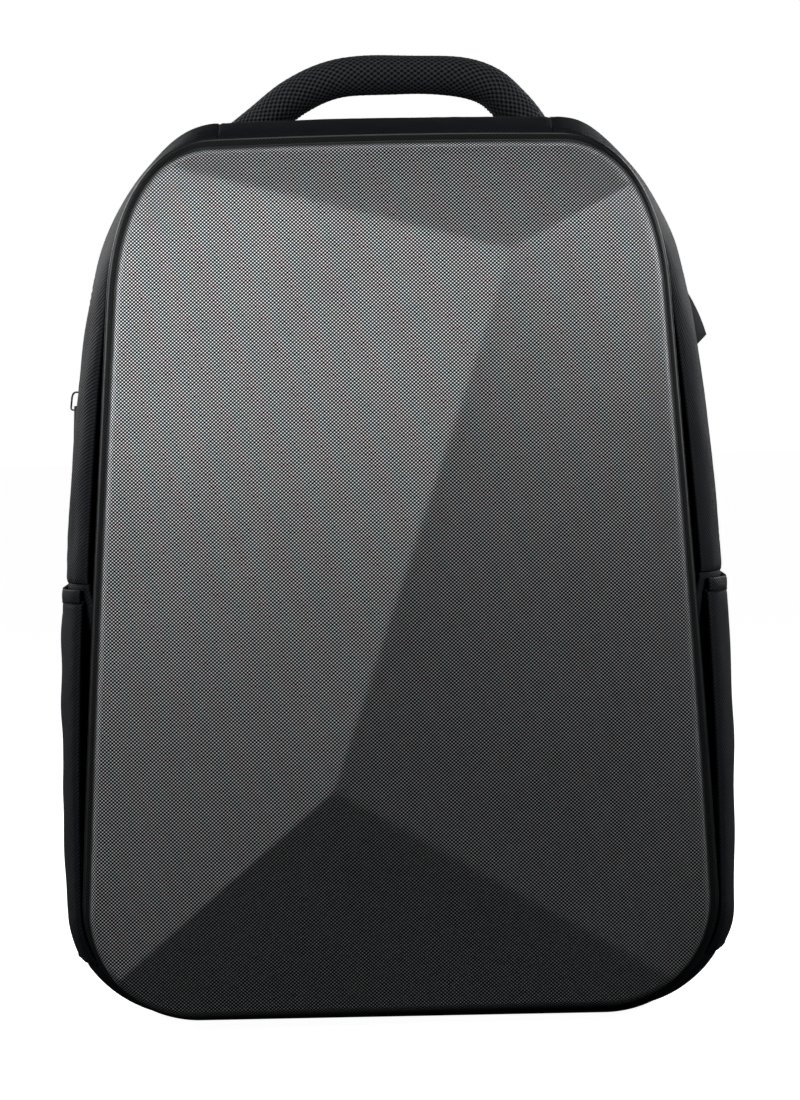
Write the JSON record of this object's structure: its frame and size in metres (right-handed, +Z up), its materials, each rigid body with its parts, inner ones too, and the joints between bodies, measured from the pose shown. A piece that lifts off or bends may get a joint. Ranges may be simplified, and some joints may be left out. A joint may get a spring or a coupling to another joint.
{
  "type": "hard shell backpack",
  "caption": "Backpack with a faceted hard front shell, soft zipped body, side pockets, arched top handle and padded shoulder straps, standing on its base.",
  "frame": {"origin": "under the middle of the bag, on the surface that it stands on", "axes": "+Z up; the hard shell faces -Y and the shoulder straps +Y; +X is to the right in a front view"},
  "size_m": [0.3194, 0.1879, 0.4554],
  "materials": {
    "shell_fabric": "plain woven laminate on a hard shell, charcoal",
    "body_fabric": "fine twill with a soft coating, black",
    "edge_piping": "smooth coated piping, black",
    "mesh_padding": "open spacer mesh, black",
    "webbing": "woven tape, black",
    "hard_plastic": "moulded plastic, black",
    "soft_rubber": "textured rubber, black",
    "zip_metal": "dark plated metal",
    "zip_teeth": "nylon coil, black"
  },
  "bodies": {
    "bag": {"front_shell": "shell_fabric", "shell_piping": "edge_piping", "front_gusset_right": "body_fabric", "top_panel": "body_fabric", "front_gusset_left": "body_fabric", "zip_tape": "webbing", "zip_teeth": "zip_teeth", "rear_gusset": "body_fabric", "base_panel": "body_fabric", "side_panel_right": "body_fabric", "side_pocket_right": "body_fabric", "pocket_hem_right": "body_fabric", "side_panel_left": "body_fabric", "side_pocket_left": "body_fabric", "pocket_hem_left": "body_fabric", "back_panel": "mesh_padding", "handle": "mesh_padding", "port_hood": "soft_rubber", "zip_slider": "zip_metal", "shoulder_strap_right": "mesh_padding", "shoulder_strap_left": "mesh_padding", "strap_buckle_right": "hard_plastic", "strap_buckle_left": "hard_plastic", "strap_webbing_right": "webbing", "strap_webbing_left": "webbing", "strap_anchor_right": "webbing", "strap_anchor_left": "webbing"},
    "pull": {"zip_pull": "zip_metal"}
  },
  "joints": [
    {"name": "zip_pull_swing", "type": "hinge", "parent": "bag", "child": "pull", "pos_m": [-0.15011, 0.0052, 0.28929], "axis": [0, 1, 0], "range_deg": [0, 150]}
  ]
}
